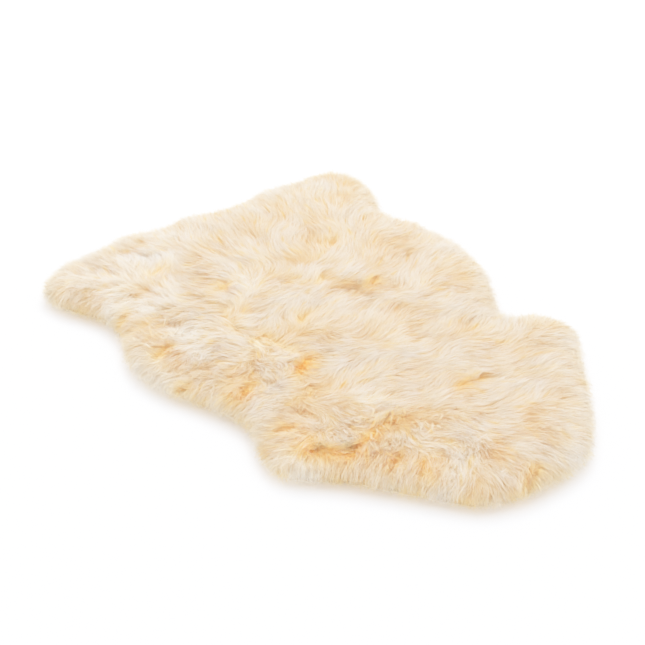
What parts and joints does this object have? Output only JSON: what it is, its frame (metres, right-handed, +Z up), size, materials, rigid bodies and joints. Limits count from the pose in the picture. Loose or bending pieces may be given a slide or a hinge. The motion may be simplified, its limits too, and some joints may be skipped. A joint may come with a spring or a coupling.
{
  "type": "sheepskin rug",
  "caption": "Flat rug of one whole sheepskin in its natural pelt outline: deep cream wool on top, suede hide underneath, laid on a floor or seat.",
  "frame": {"origin": "on the floor, under the middle of the pelt's length and width", "axes": "+Y along the spine from rump to neck, +X to the pelt's right side seen from above, +Z up out of the wool"},
  "size_m": [0.6584, 0.95, 0.0576],
  "materials": {
    "wool": "long soft ivory sheep's wool, golden towards the roots",
    "hide": "pale tanned suede, the flesh side underneath"
  },
  "bodies": {
    "root": {"sheepskin": "wool"}
  },
  "joints": []
}
